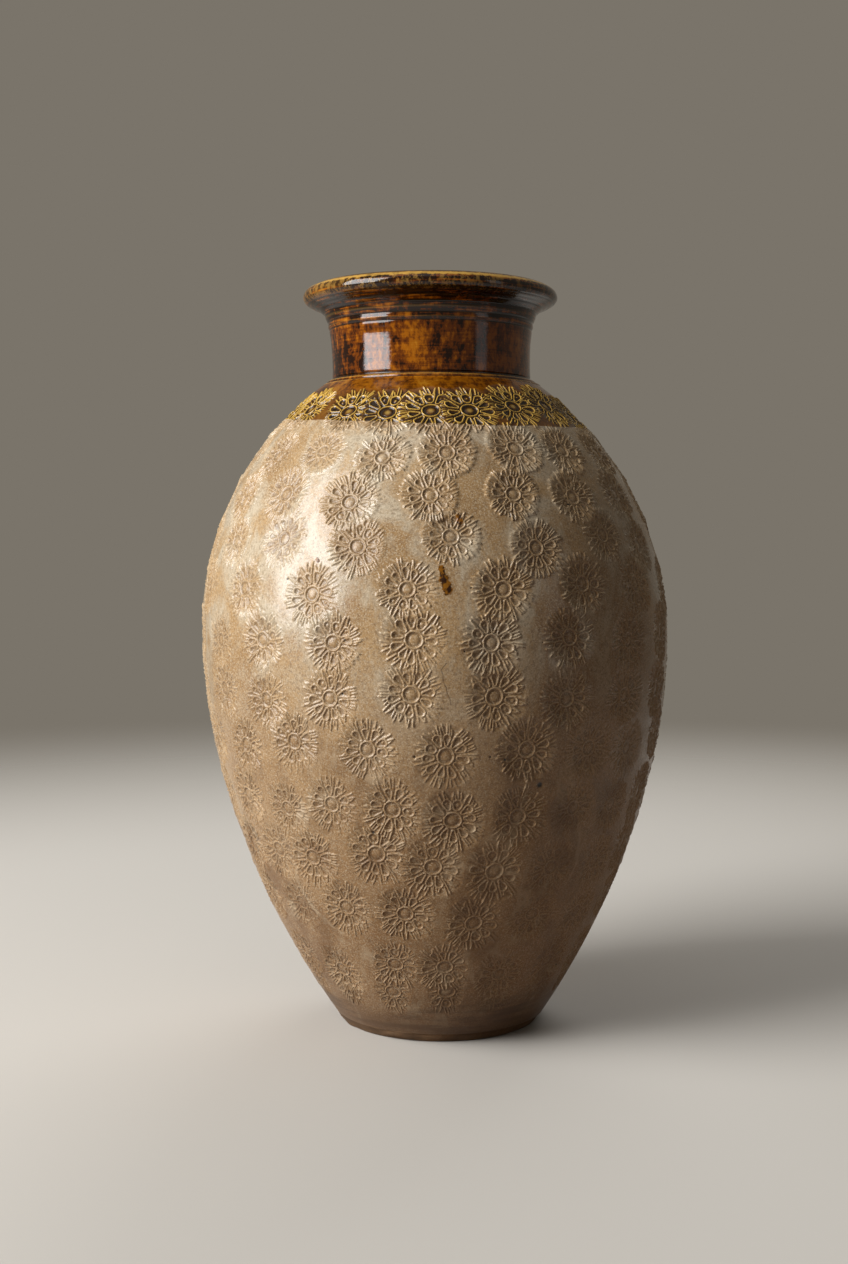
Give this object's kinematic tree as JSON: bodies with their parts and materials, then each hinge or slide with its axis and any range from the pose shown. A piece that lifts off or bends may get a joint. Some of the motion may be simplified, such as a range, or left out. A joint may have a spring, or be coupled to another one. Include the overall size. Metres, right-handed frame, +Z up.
{
  "type": "storage jar",
  "caption": "Free-standing stoneware storage jar with a full belly, narrow foot, short straight neck and rolled lip, glazed at neck and shoulder, for holding dry or wet goods.",
  "frame": {"origin": "centre of the foot, on the surface that the jar stands on", "axes": "+Z up along the jar's axis, towards the mouth; X and Y level"},
  "size_m": [0.253, 0.2535, 0.4],
  "materials": {
    "foot_clay": "matt bare stoneware",
    "inner_clay": "matt",
    "ash_glaze": "satin",
    "amber_glaze": "gloss"
  },
  "bodies": {
    "root": {"base_disc": "foot_clay", "base_coil": "inner_clay", "lower_wall": "ash_glaze", "girth_coil": "inner_clay", "upper_wall": "ash_glaze", "shoulder_coil": "inner_clay", "shoulder": "amber_glaze", "neck_ring": "amber_glaze", "neck_collar": "amber_glaze", "rim_roll": "amber_glaze"}
  },
  "joints": []
}
